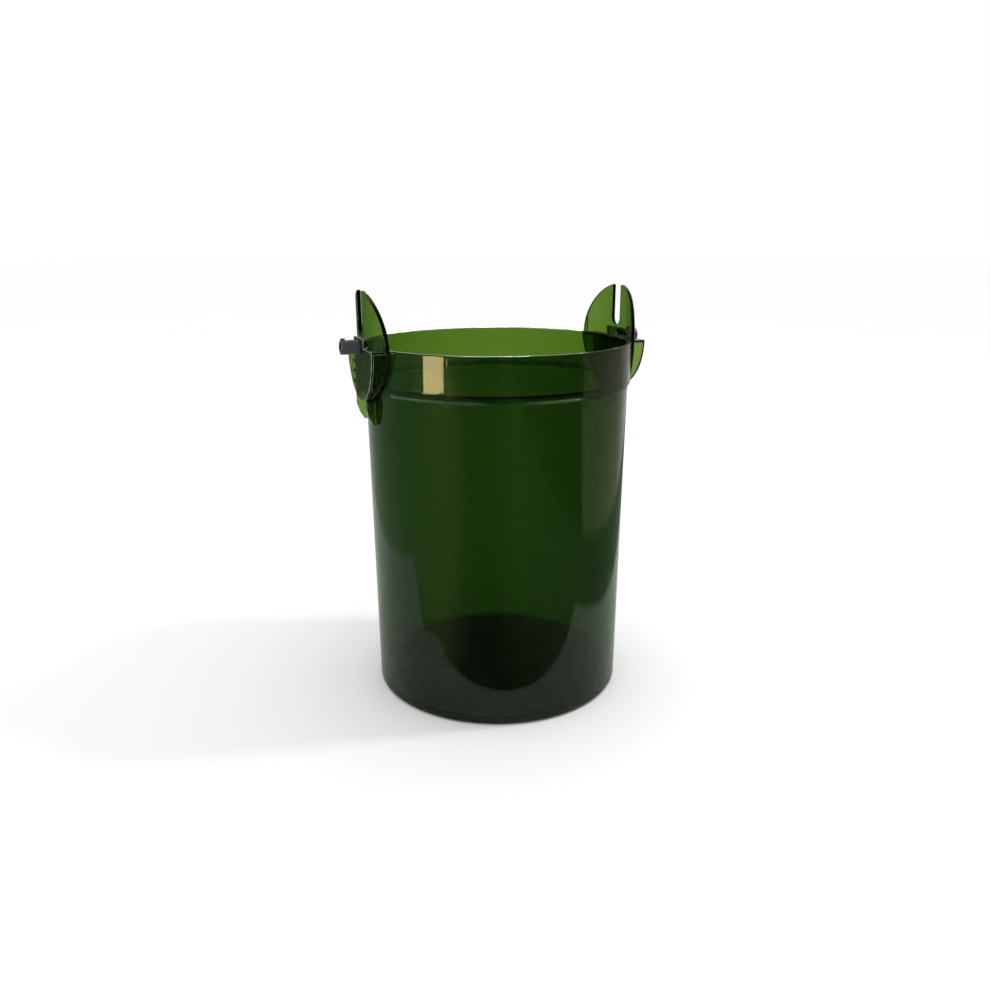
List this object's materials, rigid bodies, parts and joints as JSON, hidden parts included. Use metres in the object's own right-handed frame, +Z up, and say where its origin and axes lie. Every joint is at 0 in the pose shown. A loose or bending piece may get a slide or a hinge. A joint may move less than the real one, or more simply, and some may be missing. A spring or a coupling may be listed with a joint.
{
  "type": "aquarium canister filter vessel",
  "caption": "Round transparent green vessel of an external aquarium filter: open collar, slotted pivot brackets and hollow dark pins for a locking handle.",
  "frame": {"origin": "centre of the standing ring, on the surface that the vessel stands on", "axes": "+Z up along the vessel's axis to the open rim, +X along the right pivot pin, outwards"},
  "size_m": [0.2112, 0.1792, 0.2755],
  "materials": {
    "clear_green": "clear, glossy, tinted through, with fine handling scratches",
    "dark_grey": "satin"
  },
  "bodies": {
    "root": {"canister": "clear_green", "left_bracket": "clear_green", "right_bracket": "clear_green", "left_pin": "dark_grey", "right_pin": "dark_grey"}
  },
  "joints": []
}
